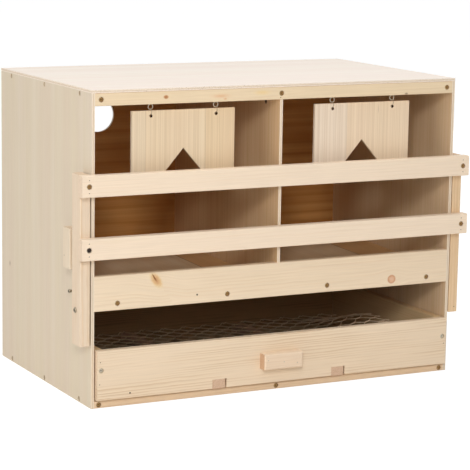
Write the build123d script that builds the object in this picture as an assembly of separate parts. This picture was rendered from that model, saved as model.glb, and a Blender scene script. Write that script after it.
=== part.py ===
from build123d import *
import math
import os

# Chicken nesting box: a plywood carcass on pine battens with two nests side by side, a hanging
# flap in each entrance, a fold-down perch rack at the front and a mesh-floored drawer below.
# Millimetres. X runs to the right, Y to the back, Z up. The origin is the middle of the
# carcass's footprint, on the ground.

os.makedirs("parts", exist_ok=True)

# Carcass
WIDTH = 590
DEPTH = 356
HEIGHT = 450
SHEET = 4.5

# Sawn pine stock: battens, perch laths, thin floor rails and drawer battens
BATTEN_WIDE = 30
BATTEN_THICK = 18
LATH_WIDE = 30
LATH_THICK = 15
RAIL_THICK = 10
ARRIS = 0.8

# Fits
PLAY = 0.3
DRILL = 0.05
PIVOT_PLAY = 0.06
OVERRUN = 5

# Nests
SILL_BOTTOM = 139
SILL_TALL = 50
SILL_THICK = 11
SILL_SCREW_RISE = 10
FLOOR_AT_MIDDLE = 161.5
FLOOR_FALL = 1.5
EGG_SLOT = 50
FLOOR_GAP = 0.5
INNER_BEARER_X = 82.5
OUTER_BEARER_X = 255
VENT_RADIUS = 26.5
VENT_X = 136
VENT_DROP = 78

# Hanging flaps
FLAP_WIDE = 161
FLAP_TALL = 114.5
FLAP_DROP = 11
FLAP_SETBACK = 21
NOTCH_HALF_WIDE = 52.5
NOTCH_TALL = 60
FLAP_HOLE_SPREAD = 51
FLAP_HOLE_DROP = 7.5
FLAP_HOLE_RADIUS = 2.25
EYE_RADIUS = 4.1
EYE_WIRE = 0.65
EYE_NECK = 0.45
EYE_SHANK = 9
LINK_WIRE = 0.6
LINK_PLAY = 0.1
RING_SIDES = 16
WIRE_SIDES = 6

# Folding perch rack
RACK_OVERHANG = 20
ARM_TALL = 242
ARM_TAIL = 50
PIVOT_Z = 141
PIVOT_SETBACK = 15.5
WASHER_THICK = 1.7
WASHER_RADIUS = 5
WASHER_SIDES = 16
BOLT_RADIUS = 2
BOLT_HEAD_RADIUS = 4.2
BOLT_HEAD_TALL = 2.5
DOME_SHARE = 0.72
HEAD_SIDES = 12
NUT_FLATS = 7
NUT_THICK = 3.2
BOLT_END = 1
UPPER_RAIL_DROP = 14.5
RACK_RAIL_STEP = 88.5
REST_WIDE = 25.5
REST_TALL = 57.5
REST_DEEP = 15.5
REST_BOTTOM = 194
REST_SETBACK = 41
STOP_BEHIND = 49
STOP_ABOVE = 17
STOP_RADIUS = 2
STOP_HEAD_RADIUS = 3.2
STOP_HEAD_TALL = 1.8
STOP_REACH = 8

# Drawer
DRAWER_PROUD = 8
DRAWER_SIDE_PLAY = 2
DRAWER_THICK = 12
DRAWER_TOP = 84
DRAWER_FRONT_LIFT = 2.4
STRIP_WIDE = 20.5
STRIP_TALL = 13.6
STRIP_X = 98.5
STRIP_PLAY = 2.6
MESH_THICK = 1.2
MESH_WEB = 1.6
MESH_PITCH = 34
MESH_EDGE_PLAY = 1
LEAST_GAP_SHARE = 0.15
HANDLE_WIDE = 63
HANDLE_TALL = 23
HANDLE_DEEP = 16
HANDLE_BOTTOM = 35.5
HANDLE_ARRIS = 2

# Wood screws
SCREW_HEAD = 7
SCREW_SHANK = 3
SCREW_SUNK = 0.8
SCREW_TIP = 3
SCREW_POINT = 0.3
SCREW_SIDES = 8
LONG_SCREW = 36
SHORT_SCREW = 24
HEADER_SCREW_INSET = 14
RAIL_SCREW_INSET = 12
SIDE_SCREW_INSET = 44
TOP_SCREW_DROP = 8.5
DRAWER_SCREW_Z = 56
DRAWER_REAR_SCREW_STEP = 18

# Places worked out from the sizes above
FRONT = -DEPTH / 2
BACK = DEPTH / 2
OUTSIDE = WIDTH / 2
INSIDE = OUTSIDE - SHEET
BACK_FACE = BACK - SHEET
UNDER_TOP = HEIGHT - SHEET
HEADER_BOTTOM = UNDER_TOP - BATTEN_THICK
HEADER_MIDDLE = UNDER_TOP - BATTEN_THICK / 2
VENT_Z = HEIGHT - VENT_DROP
BATTEN_FRONT = FRONT + BATTEN_WIDE
REAR_RAIL_FACE = BACK_FACE - BATTEN_THICK
SILL_TOP = SILL_BOTTOM + SILL_TALL
SILL_BACK = FRONT + SILL_THICK
SILL_SCREW_Z = SILL_BOTTOM + SILL_SCREW_RISE
FALL = math.tan(math.radians(FLOOR_FALL))
FLOOR_TOP_OFFSET = SHEET / math.cos(math.radians(FLOOR_FALL))
FLOOR_FRONT = SILL_BACK + EGG_SLOT
NEST_MIDDLE = (SHEET / 2 + INSIDE) / 2
FLAP_PLANE = FRONT + FLAP_SETBACK
FLAP_TOP = HEADER_BOTTOM - FLAP_DROP
FLAP_BOTTOM = FLAP_TOP - FLAP_TALL
FLAP_HOLE_Z = FLAP_TOP - FLAP_HOLE_DROP
EYE_Z = HEADER_BOTTOM - EYE_NECK - EYE_WIRE - EYE_RADIUS
LINK_TOP = EYE_Z - EYE_RADIUS + EYE_WIRE + LINK_PLAY + LINK_WIRE
LINK_DROP = LINK_TOP - FLAP_HOLE_Z - FLAP_HOLE_RADIUS
LINK_INSET = LINK_WIRE + LINK_PLAY
LINK_RADIUS = (LINK_DROP ** 2 - LINK_INSET ** 2 + (SHEET / 2) ** 2) / (2 * (LINK_DROP - LINK_INSET))
RACK_BACK = FRONT - PLAY
RACK_FRONT = RACK_BACK - LATH_THICK
PIVOT_Y = FRONT + PIVOT_SETBACK
ARM_INNER = OUTSIDE + WASHER_THICK + PLAY
ARM_OUTER = ARM_INNER + LATH_THICK
ARM_BOTTOM = PIVOT_Z - ARM_TAIL
UPPER_RAIL_Z = ARM_BOTTOM + ARM_TALL - UPPER_RAIL_DROP
LOWER_RAIL_Z = UPPER_RAIL_Z - RACK_RAIL_STEP
DRAWER_FACE = FRONT - DRAWER_PROUD
DRAWER_HALF = INSIDE - DRAWER_SIDE_PLAY
DRAWER_INNER = DRAWER_HALF - DRAWER_THICK
DRAWER_BOTTOM = RAIL_THICK + PLAY
DRAWER_FRONT_BOTTOM = RAIL_THICK + DRAWER_FRONT_LIFT
DRAWER_REAR = REAR_RAIL_FACE - PLAY
STRIP_TOP = DRAWER_FRONT_BOTTOM + STRIP_TALL

TO_FRONT = (0, -1, 0)
TO_LEFT = (-1, 0, 0)
TO_RIGHT = (1, 0, 0)


def board(x, y, z, ease=True):
    """A sawn board between low and high X, Y and Z, with the arrises along its length taken off."""
    sizes = (x[1] - x[0], y[1] - y[0], z[1] - z[0])
    body = Pos(sum(x) / 2, sum(y) / 2, sum(z) / 2) * Box(*sizes)
    if ease:
        along = (Axis.X, Axis.Y, Axis.Z)[sizes.index(max(sizes))]
        body = chamfer(body.edges().filter_by(along), ARRIS)
    return body


def mirrored(shape):
    """The same piece on the other side of the box."""
    return mirror(shape, Plane.YZ)


def group(shapes):
    """Separate solids that share one node."""
    return Compound([solid for shape in shapes for solid in shape.solids()])


def facing(point, direction):
    """Where a turned piece stands on a face, with its own Z along the way the face looks."""
    return Plane(origin=point, z_dir=direction).location


def turned(sections, sides):
    """A small faceted piece about Z, through (radius, height) sections from low to high."""
    outlines = [Pos(0, 0, height) * RegularPolygon(radius, sides) for radius, height in sections]
    return loft(outlines, ruled=True)


def wire_ring(radius, wire):
    """A closed ring of six-sided wire about Z, mitred at its corners."""
    corner = radius / math.cos(math.pi / RING_SIDES)
    turns = [math.tau * (k + 1 / 2) / RING_SIDES for k in range(RING_SIDES)]
    path = Polyline((radius, 0), *[(corner * math.cos(t), corner * math.sin(t)) for t in turns], (radius, 0))
    start = Plane(origin=(radius, 0, 0), x_dir=(1, 0, 0), z_dir=(0, 1, 0))
    section = start * RegularPolygon(wire, WIRE_SIDES)
    return sweep(section, path=path, transition=Transition.RIGHT)


def bore(point, direction, radius, deep):
    """A round hole drilled into a face to a depth, with overrun both ways."""
    return facing(point, direction) * Cylinder(radius, 2 * (deep + OVERRUN))


def screw_sections(length, grow):
    """The radius and height of a countersunk wood screw from its point up, with its head sunk a little."""
    head = SCREW_HEAD / 2 + grow
    shank = SCREW_SHANK / 2 + grow
    end = -length - grow
    return [
        (SCREW_POINT + grow, end),
        (shank, end + SCREW_TIP),
        (shank, -SCREW_SUNK - head + shank),
        (head, -SCREW_SUNK),
    ]


def screws(places, length):
    screw = turned(screw_sections(length, 0), SCREW_SIDES)
    return [place * screw for place in places]


def screw_holes(places, length):
    sections = screw_sections(length, DRILL)
    hole = turned(sections + [(sections[-1][0], OVERRUN)], SCREW_SIDES)
    return [place * hole for place in places]


# Screw places, each on the face that the head lies in

def header_screws():
    reach = INSIDE - HEADER_SCREW_INSET + SHEET
    return [facing((x, FRONT, HEADER_MIDDLE), TO_FRONT) for x in (-reach, 0, reach)]


def floor_rail_screws():
    reach = OUTSIDE - RAIL_SCREW_INSET
    return [facing((x, FRONT, RAIL_THICK / 2), TO_FRONT) for x in (-reach, 0, reach)]


def sill_screws():
    places = (-OUTER_BEARER_X, -INNER_BEARER_X, INNER_BEARER_X, OUTER_BEARER_X)
    return [facing((x, FRONT, SILL_SCREW_Z), TO_FRONT) for x in places]


def side_screws(side, height):
    direction = TO_RIGHT if side > 0 else TO_LEFT
    rows = (FRONT + SIDE_SCREW_INSET, 0, BACK - SIDE_SCREW_INSET)
    return [facing((side * OUTSIDE, y, height), direction) for y in rows]


def frame_screws(side):
    top = side_screws(side, HEIGHT - TOP_SCREW_DROP)
    return top + side_screws(side, RAIL_THICK / 2)


def rack_screws():
    reach = (ARM_INNER + ARM_OUTER) / 2
    places = [(x, z) for x in (-reach, reach) for z in (LOWER_RAIL_Z, UPPER_RAIL_Z)]
    return [facing((x, RACK_FRONT, z), TO_FRONT) for x, z in places]


def drawer_face_screws():
    reach = (DRAWER_INNER + DRAWER_HALF) / 2
    return [facing((x, DRAWER_FACE, DRAWER_SCREW_Z), TO_FRONT) for x in (-reach, reach)]


def drawer_rear_screws(side):
    direction = TO_RIGHT if side > 0 else TO_LEFT
    y = DRAWER_REAR - DRAWER_THICK / 2
    middle = (DRAWER_BOTTOM + DRAWER_TOP) / 2
    heights = (middle - DRAWER_REAR_SCREW_STEP, middle + DRAWER_REAR_SCREW_STEP)
    return [facing((side * DRAWER_HALF, y, z), direction) for z in heights]


# Carcass

def side_panel(side):
    x = sorted((side * INSIDE, side * OUTSIDE))
    panel = board(x, (FRONT, BACK), (0, UNDER_TOP), ease=False)
    outer = side * OUTSIDE
    stop = (outer, PIVOT_Y + STOP_BEHIND, PIVOT_Z + STOP_ABOVE)
    panel -= bore((outer, PIVOT_Y, PIVOT_Z), TO_RIGHT, BOLT_RADIUS + DRILL, SHEET)
    panel -= bore(stop, TO_RIGHT, STOP_RADIUS + DRILL, SHEET)
    return panel - screw_holes(frame_screws(side), SHORT_SCREW)


def top_panel():
    return board((-OUTSIDE, OUTSIDE), (FRONT, BACK), (UNDER_TOP, HEIGHT), ease=False)


def back_panel():
    panel = board((-INSIDE, INSIDE), (BACK_FACE, BACK), (0, UNDER_TOP), ease=False)
    for x in (-VENT_X, VENT_X):
        panel -= bore((x, BACK, VENT_Z), TO_FRONT, VENT_RADIUS, SHEET)
    return panel


def centre_divider():
    """One sheet, notched round the header rail, the sill board, the rear rail and the ledger."""
    outline = Polyline(
        (FRONT, SILL_TOP),
        (SILL_BACK, SILL_TOP),
        (SILL_BACK, SILL_BOTTOM),
        (REAR_RAIL_FACE, SILL_BOTTOM),
        (REAR_RAIL_FACE, ledger_top(REAR_RAIL_FACE)),
        (BACK_FACE, ledger_top(BACK_FACE)),
        (BACK_FACE, HEADER_BOTTOM),
        (REAR_RAIL_FACE, HEADER_BOTTOM),
        (REAR_RAIL_FACE, UNDER_TOP),
        (BATTEN_FRONT, UNDER_TOP),
        (BATTEN_FRONT, HEADER_BOTTOM),
        (FRONT, HEADER_BOTTOM),
        close=True,
    )
    sheet = extrude(Plane.YZ * make_face(outline), SHEET / 2, both=True)
    return sheet - screw_holes(header_screws()[1:2], LONG_SCREW)


def header_rail():
    rail = board((-INSIDE, INSIDE), (FRONT, BATTEN_FRONT), (HEADER_BOTTOM, UNDER_TOP))
    rail -= screw_holes(header_screws(), LONG_SCREW)
    deep = EYE_SHANK + DRILL
    pilot = turned([(EYE_WIRE + DRILL, -deep), (EYE_WIRE + DRILL, deep)], WIRE_SIDES)
    for x in eye_places():
        rail -= Pos(x, FLAP_PLANE, HEADER_BOTTOM) * pilot
    return rail


def top_batten(side):
    x = sorted((side * (INSIDE - BATTEN_WIDE), side * INSIDE))
    batten = board(x, (BATTEN_FRONT, REAR_RAIL_FACE), (HEADER_BOTTOM, UNDER_TOP))
    batten -= screw_holes(header_screws(), LONG_SCREW)
    return batten - screw_holes(frame_screws(side), SHORT_SCREW)


def top_rear_rail():
    return board((-INSIDE, INSIDE), (REAR_RAIL_FACE, BACK_FACE), (HEADER_BOTTOM, UNDER_TOP))


def bottom_front_rail():
    rail = board((-INSIDE, INSIDE), (FRONT, BATTEN_FRONT), (0, RAIL_THICK))
    return rail - screw_holes(floor_rail_screws(), LONG_SCREW)


def bottom_rear_rail():
    """Stands on edge against the back panel, where it also stops the drawer."""
    return board((-INSIDE, INSIDE), (REAR_RAIL_FACE, BACK_FACE), (0, BATTEN_WIDE))


def runner(middle):
    x = (middle - BATTEN_WIDE / 2, middle + BATTEN_WIDE / 2)
    rail = board(x, (BATTEN_FRONT, REAR_RAIL_FACE), (0, RAIL_THICK))
    rail -= screw_holes(floor_rail_screws(), LONG_SCREW)
    for side in (-1, 1):
        rail -= screw_holes(frame_screws(side), SHORT_SCREW)
    return rail


# Nests

def ledger_top(y):
    """The height of the sloping floors' underside at a depth."""
    return FLOOR_AT_MIDDLE - FLOOR_TOP_OFFSET + y * FALL


def under_floor(x, y):
    """A batten below the floors with its top planed to their fall."""
    outline = Polyline(
        (y[0], SILL_BOTTOM),
        (y[1], SILL_BOTTOM),
        (y[1], ledger_top(y[1])),
        (y[0], ledger_top(y[0])),
        close=True,
    )
    return Pos(x[0], 0, 0) * extrude(Plane.YZ * make_face(outline), x[1] - x[0])


def nest_front_board():
    sill = board((-INSIDE, INSIDE), (FRONT, SILL_BACK), (SILL_BOTTOM, SILL_TOP))
    return sill - screw_holes(sill_screws(), LONG_SCREW)


def nest_rear_ledger():
    return under_floor((-INSIDE, INSIDE), (REAR_RAIL_FACE, BACK_FACE))


def bearer(middle):
    x = (middle - BATTEN_WIDE / 2, middle + BATTEN_WIDE / 2)
    batten = under_floor(x, (SILL_BACK, REAR_RAIL_FACE))
    return batten - screw_holes(sill_screws(), LONG_SCREW)


def nest_floor(side):
    """A plywood floor that falls to the egg slot behind the sill."""
    outline = Polyline(
        (FLOOR_FRONT, ledger_top(FLOOR_FRONT)),
        (BACK_FACE, ledger_top(BACK_FACE)),
        (BACK_FACE, ledger_top(BACK_FACE) + FLOOR_TOP_OFFSET),
        (FLOOR_FRONT, ledger_top(FLOOR_FRONT) + FLOOR_TOP_OFFSET),
        close=True,
    )
    near = SHEET / 2 + FLOOR_GAP
    wide = INSIDE - FLOOR_GAP - near
    floor = Pos(near, 0, 0) * extrude(Plane.YZ * make_face(outline), wide)
    return floor if side > 0 else mirrored(floor)


# Hanging flaps

def eye_places():
    middles = (-NEST_MIDDLE, NEST_MIDDLE)
    return [m + s for m in middles for s in (-FLAP_HOLE_SPREAD, FLAP_HOLE_SPREAD)]


def flap(side):
    """A plywood sheet with an inverted V cut up from its lower edge and two link holes."""
    half = FLAP_WIDE / 2
    outline = Polyline(
        (-half, FLAP_TOP),
        (-half, FLAP_BOTTOM),
        (-NOTCH_HALF_WIDE, FLAP_BOTTOM),
        (0, FLAP_BOTTOM + NOTCH_TALL),
        (NOTCH_HALF_WIDE, FLAP_BOTTOM),
        (half, FLAP_BOTTOM),
        (half, FLAP_TOP),
        close=True,
    )
    sheet = extrude(Plane.XZ * make_face(outline), SHEET / 2, both=True)
    for x in (-FLAP_HOLE_SPREAD, FLAP_HOLE_SPREAD):
        sheet -= bore((x, 0, FLAP_HOLE_Z), TO_FRONT, FLAP_HOLE_RADIUS, SHEET)
    return Pos(side * NEST_MIDDLE, FLAP_PLANE, 0) * sheet


def flap_links(side):
    """Two closed wire links, each through a screw eye and a flap hole, whose edges rest in it."""
    places = [x for x in eye_places() if x * side > 0]
    ring = Rot(0, 90, 0) * wire_ring(LINK_RADIUS, LINK_WIRE)
    return group([Pos(x, FLAP_PLANE, LINK_TOP - LINK_RADIUS) * ring for x in places])


def screw_eyes():
    """Four wire eyes in the header rail's underside, each with its shank in the wood."""
    ring = Rot(90, 0, 0) * wire_ring(EYE_RADIUS, EYE_WIRE)
    shank_top = HEADER_BOTTOM + EYE_SHANK - EYE_Z
    eye = ring + turned([(EYE_WIRE, EYE_RADIUS), (EYE_WIRE, shank_top)], WIRE_SIDES)
    return group([Pos(x, FLAP_PLANE, EYE_Z) * eye for x in eye_places()])


# Folding perch rack

def rack_rail(middle):
    half = OUTSIDE + RACK_OVERHANG
    z = (middle - LATH_WIDE / 2, middle + LATH_WIDE / 2)
    rail = board((-half, half), (RACK_FRONT, RACK_BACK), z)
    return rail - screw_holes(rack_screws(), LONG_SCREW)


def rack_arm(side):
    x = sorted((side * ARM_INNER, side * ARM_OUTER))
    arm = board(x, (RACK_BACK, RACK_BACK + LATH_WIDE), (ARM_BOTTOM, ARM_BOTTOM + ARM_TALL))
    pivot = (side * ARM_INNER, PIVOT_Y, PIVOT_Z)
    arm -= bore(pivot, TO_RIGHT, BOLT_RADIUS + PIVOT_PLAY, LATH_THICK)
    return arm - screw_holes(rack_screws(), LONG_SCREW)


def pivot_bolt():
    """Runs in from the arm's outer face, with its dome outside and its end past the nut."""
    length = ARM_OUTER + PLAY - INSIDE + NUT_THICK + BOLT_END
    head = turned([
        (BOLT_HEAD_RADIUS, 0),
        (BOLT_HEAD_RADIUS * DOME_SHARE, BOLT_HEAD_TALL * DOME_SHARE),
        (BOLT_HEAD_RADIUS / 2 * DOME_SHARE, BOLT_HEAD_TALL),
    ], HEAD_SIDES)
    return head + Pos(0, 0, -length / 2) * Cylinder(BOLT_RADIUS, length)


def pivot_bolts():
    outer = ARM_OUTER + PLAY
    left = facing((-outer, PIVOT_Y, PIVOT_Z), TO_LEFT)
    right = facing((outer, PIVOT_Y, PIVOT_Z), TO_RIGHT)
    return group([left * pivot_bolt(), right * pivot_bolt()])


def pivot_washers():
    disc = turned([(WASHER_RADIUS, 0), (WASHER_RADIUS, WASHER_THICK)], WASHER_SIDES)
    ring = disc - Cylinder(BOLT_RADIUS + DRILL, 2 * (WASHER_THICK + OVERRUN))
    right = facing((OUTSIDE, PIVOT_Y, PIVOT_Z), TO_RIGHT) * ring
    return group([right, mirrored(right)])


def pivot_nuts():
    hexagon = RegularPolygon(NUT_FLATS / 2, 6, major_radius=False)
    nut = extrude(hexagon, NUT_THICK) - Cylinder(BOLT_RADIUS + DRILL, 2 * (NUT_THICK + OVERRUN))
    right = facing((INSIDE - NUT_THICK, PIVOT_Y, PIVOT_Z), TO_RIGHT) * nut
    return group([right, mirrored(right)])


def rest_block(side):
    """Stands behind the arm on the side panel's outer face."""
    x = sorted((side * OUTSIDE, side * (OUTSIDE + REST_DEEP)))
    y = (FRONT + REST_SETBACK, FRONT + REST_SETBACK + REST_WIDE)
    return board(x, y, (REST_BOTTOM, REST_BOTTOM + REST_TALL))


def stop_screws():
    """One headed pin a side, where the arm's tail comes to rest when the rack is down."""
    neck = STOP_REACH - STOP_HEAD_TALL
    head = turned([(STOP_HEAD_RADIUS, neck), (STOP_HEAD_RADIUS, STOP_REACH)], HEAD_SIDES)
    pin = head + Pos(0, 0, (neck - SHEET) / 2) * Cylinder(STOP_RADIUS, neck + SHEET)
    place = facing((OUTSIDE, PIVOT_Y + STOP_BEHIND, PIVOT_Z + STOP_ABOVE), TO_RIGHT)
    return group([place * pin, mirrored(place * pin)])


# Drawer

def strip_cut(y):
    """The two notches that the battens pass through, each with its play on the right."""
    cuts = []
    for middle in (-STRIP_X, STRIP_X):
        x = (middle - STRIP_WIDE / 2, middle + STRIP_WIDE / 2 + STRIP_PLAY)
        cuts.append(board(x, y, (0, STRIP_TOP), ease=False))
    return cuts


def drawer_front():
    y = (DRAWER_FACE, DRAWER_FACE + DRAWER_THICK)
    front = board((-DRAWER_HALF, DRAWER_HALF), y, (DRAWER_FRONT_BOTTOM, DRAWER_TOP))
    front -= strip_cut(y)
    return front - screw_holes(drawer_face_screws(), LONG_SCREW)


def drawer_side(side):
    x = sorted((side * DRAWER_INNER, side * DRAWER_HALF))
    plank = board(x, (DRAWER_FACE + DRAWER_THICK, DRAWER_REAR), (DRAWER_BOTTOM, DRAWER_TOP))
    plank -= screw_holes(drawer_face_screws(), LONG_SCREW)
    return plank - screw_holes(drawer_rear_screws(side), LONG_SCREW)


def drawer_back():
    y = (DRAWER_REAR - DRAWER_THICK, DRAWER_REAR)
    plank = board((-DRAWER_INNER, DRAWER_INNER), y, (DRAWER_BOTTOM, DRAWER_TOP))
    plank -= strip_cut(y)
    for side in (-1, 1):
        plank -= screw_holes(drawer_rear_screws(side), LONG_SCREW)
    return plank


def drawer_batten(middle):
    x = (middle - STRIP_WIDE / 2, middle + STRIP_WIDE / 2)
    return board(x, (DRAWER_FACE, DRAWER_REAR), (DRAWER_FRONT_BOTTOM, STRIP_TOP))


def drawer_mesh():
    """Hexagonal wire netting as one holed sheet, flat on the two battens and cut at its selvedge."""
    y = (DRAWER_FACE + DRAWER_THICK + MESH_EDGE_PLAY, DRAWER_REAR - DRAWER_THICK - MESH_EDGE_PLAY)
    wide = 2 * (DRAWER_INNER - MESH_EDGE_PLAY)
    deep = y[1] - y[0]
    inner_wide = wide - 2 * MESH_WEB
    inner_deep = deep - 2 * MESH_WEB
    row_step = MESH_PITCH * math.sqrt(3) / 2
    cell = RegularPolygon((MESH_PITCH - MESH_WEB) / math.sqrt(3), 6, rotation=30)
    columns = int(wide / 2 / MESH_PITCH) + 1
    rows = int(deep / 2 / row_step) + 1
    gaps = []
    for row in range(-rows, rows + 1):
        for column in range(-columns, columns + 1):
            gap = Pos((column + row % 2 / 2) * MESH_PITCH, row * row_step) * cell
            box = gap.bounding_box()
            past_end = max(-box.min.X, box.max.X) > inner_wide / 2
            past_edge = max(-box.min.Y, box.max.Y) > inner_deep / 2
            if past_end or past_edge:
                gap = gap & Rectangle(inner_wide, inner_deep)
            if gap and gap.area > cell.area * LEAST_GAP_SHARE:
                gaps.append(gap.face().outer_wire())
    net = Face(Rectangle(wide, deep).wire(), gaps)
    return Pos(0, sum(y) / 2, STRIP_TOP) * extrude(net, MESH_THICK)


def drawer_handle():
    x = (-HANDLE_WIDE / 2, HANDLE_WIDE / 2)
    y = (DRAWER_FACE - HANDLE_DEEP, DRAWER_FACE)
    block = board(x, y, (HANDLE_BOTTOM, HANDLE_BOTTOM + HANDLE_TALL), ease=False)
    return chamfer(block.faces().sort_by(Axis.Y)[0].edges(), HANDLE_ARRIS)


def drawer_screws():
    places = drawer_face_screws() + drawer_rear_screws(-1) + drawer_rear_screws(1)
    return group(screws(places, LONG_SCREW))


parts = {
    "left_side_panel": side_panel(-1),
    "right_side_panel": side_panel(1),
    "top_panel": top_panel(),
    "back_panel": back_panel(),
    "centre_divider": centre_divider(),
    "front_header_rail": header_rail(),
    "top_left_batten": top_batten(-1),
    "top_right_batten": top_batten(1),
    "top_rear_rail": top_rear_rail(),
    "bottom_front_rail": bottom_front_rail(),
    "bottom_rear_rail": bottom_rear_rail(),
    "left_runner": runner(-INSIDE + BATTEN_WIDE / 2),
    "centre_runner": runner(0),
    "right_runner": runner(INSIDE - BATTEN_WIDE / 2),
    "nest_front_board": nest_front_board(),
    "nest_rear_ledger": nest_rear_ledger(),
    "left_outer_bearer": bearer(-OUTER_BEARER_X),
    "left_inner_bearer": bearer(-INNER_BEARER_X),
    "right_inner_bearer": bearer(INNER_BEARER_X),
    "right_outer_bearer": bearer(OUTER_BEARER_X),
    "left_nest_floor": nest_floor(-1),
    "right_nest_floor": nest_floor(1),
    "left_rest_block": rest_block(-1),
    "right_rest_block": rest_block(1),
    "stop_screws": stop_screws(),
    "perch_upper_rail": rack_rail(UPPER_RAIL_Z),
    "perch_lower_rail": rack_rail(LOWER_RAIL_Z),
    "perch_left_arm": rack_arm(-1),
    "perch_right_arm": rack_arm(1),
    "perch_rail_screws": group(screws(rack_screws(), LONG_SCREW)),
    "pivot_bolts": pivot_bolts(),
    "pivot_washers": pivot_washers(),
    "pivot_nuts": pivot_nuts(),
    "drawer_front": drawer_front(),
    "drawer_left_side": drawer_side(-1),
    "drawer_right_side": drawer_side(1),
    "drawer_back": drawer_back(),
    "drawer_left_batten": drawer_batten(-STRIP_X),
    "drawer_right_batten": drawer_batten(STRIP_X),
    "drawer_mesh": drawer_mesh(),
    "drawer_handle": drawer_handle(),
    "drawer_screws": drawer_screws(),
    "left_flap": flap(-1),
    "right_flap": flap(1),
    "left_flap_links": flap_links(-1),
    "right_flap_links": flap_links(1),
    "screw_eyes": screw_eyes(),
    "header_screws": group(screws(header_screws(), LONG_SCREW)),
    "sill_screws": group(screws(sill_screws(), LONG_SCREW)),
    "floor_rail_screws": group(screws(floor_rail_screws(), LONG_SCREW)),
    "side_screws": group(screws(frame_screws(-1) + frame_screws(1), SHORT_SCREW)),
}

for name, shape in parts.items():
    export_step(shape, f"parts/{name}.step")
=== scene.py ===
import bpy
import bmesh
import math
from mathutils import Matrix, Vector


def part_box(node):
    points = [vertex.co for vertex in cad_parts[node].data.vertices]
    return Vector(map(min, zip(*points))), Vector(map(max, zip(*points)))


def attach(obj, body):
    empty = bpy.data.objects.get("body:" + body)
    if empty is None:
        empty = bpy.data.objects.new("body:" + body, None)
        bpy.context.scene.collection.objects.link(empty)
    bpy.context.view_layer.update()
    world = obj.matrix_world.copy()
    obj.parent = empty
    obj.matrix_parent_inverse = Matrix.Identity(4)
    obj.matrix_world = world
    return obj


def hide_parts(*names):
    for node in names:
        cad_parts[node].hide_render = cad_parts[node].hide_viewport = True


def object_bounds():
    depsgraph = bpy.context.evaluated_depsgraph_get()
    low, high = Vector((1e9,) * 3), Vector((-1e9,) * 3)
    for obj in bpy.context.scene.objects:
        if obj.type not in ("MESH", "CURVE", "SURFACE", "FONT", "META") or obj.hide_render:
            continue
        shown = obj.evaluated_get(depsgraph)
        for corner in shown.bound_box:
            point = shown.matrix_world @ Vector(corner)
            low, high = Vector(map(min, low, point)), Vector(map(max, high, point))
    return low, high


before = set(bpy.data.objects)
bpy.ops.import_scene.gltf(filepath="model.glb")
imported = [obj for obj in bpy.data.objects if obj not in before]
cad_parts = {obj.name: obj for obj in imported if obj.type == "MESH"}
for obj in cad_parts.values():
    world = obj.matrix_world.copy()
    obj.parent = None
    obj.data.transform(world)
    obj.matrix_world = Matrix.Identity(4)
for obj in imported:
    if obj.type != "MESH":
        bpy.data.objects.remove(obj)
cad_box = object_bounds()

MM = 0.001
X, Y, Z = 0, 1, 2
LEFT, RIGHT = -1, 1

# The photograph's camera, fitted to the box's corners in its 470 pixel frame: where it stands, seen from the box's
# middle, and where it looks
PHOTO_SIDE = 470
BOX_MIDDLE = Vector((0, 0, 0.225))
CAMERA_AZIMUTH = math.radians(-26.678)
CAMERA_ELEVATION = math.radians(9.42)
CAMERA_DISTANCE = 3.0575
CAMERA_YAW = math.radians(-26.999)
CAMERA_PITCH = math.radians(9.859)
CAMERA_ROLL = math.radians(0.916)
FOCAL_PIXELS = 1995.2
SENSOR = 36


# Small helpers

def colour(code):
    """An sRGB hex colour as the linear values that a shader takes."""
    shares = [int(code[i:i + 2], 16) / 255 for i in (1, 3, 5)]
    linear = [s / 12.92 if s <= 0.04045 else ((s + 0.055) / 1.055) ** 2.4 for s in shares]
    return (*linear, 1)


def add(tree, kind, inputs=None, **settings):
    """Adds a node, sets it and links or fills its inputs."""
    made = tree.nodes.new(kind)
    for name, value in settings.items():
        setattr(made, name, value)
    for socket, value in (inputs or {}).items():
        if isinstance(value, bpy.types.NodeSocket):
            tree.links.new(value, made.inputs[socket])
        else:
            made.inputs[socket].default_value = value
    return made


def by_axis(axis, along, across):
    """A vector with one value along an axis and another across it."""
    return tuple(along if i == axis else across for i in range(3))


def blank(name):
    """A new material with an empty tree."""
    material = bpy.data.materials.new(name)
    material.use_nodes = True
    material.node_tree.nodes.clear()
    return material, material.node_tree


def ramp(tree, factor, stops):
    """A colour ramp through (place, hex colour) stops."""
    made = add(tree, "ShaderNodeValToRGB", {"Fac": factor})
    elements = made.color_ramp.elements
    for place, code in stops[1:-1]:
        elements.new(place)
    for element, (place, code) in zip(elements, stops):
        element.position = place
        element.color = colour(code)
    return made.outputs["Color"]


def mixed(tree, factor, low, high, blend_type="MIX"):
    """Two colours mixed by a factor, which may be a socket."""
    made = add(tree, "ShaderNodeMix", {0: factor, 6: low, 7: high}, data_type="RGBA", blend_type=blend_type)
    return made.outputs[2]


def middle_of(node, axis):
    """The middle of a node's box along an axis."""
    low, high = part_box(node)
    return (low[axis] + high[axis]) / 2


def on_front(node, x, z):
    """A point on a node's front face, from millimetres across and up."""
    return (x * MM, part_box(node)[0][Y], z * MM)


# Wood

# Sizes along and across the grain. The fibres are drawn far coarser than real ones, so that they show.
FIBRE = (60 * MM, 1.6 * MM)
CLOUD = (420 * MM, 60 * MM)
YEARS = (900 * MM, 15 * MM)
FIGURE_PATCH = (170 * MM, 15 * MM)
PEEL = (900 * MM, 110 * MM)
BLUSH = (700 * MM, 45 * MM)
STREAK_LONG = 1500 * MM
TORN_FIBRE = (0.8 * MM, 1.8 * MM)

# A year's wood, how far a good or a bad year moves its lines, and how the log leant in the saw
RING_WIDE = 4 * MM
YEAR_DRIFT = 16 * MM
LOG_LEAN = math.radians(1.5)
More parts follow.
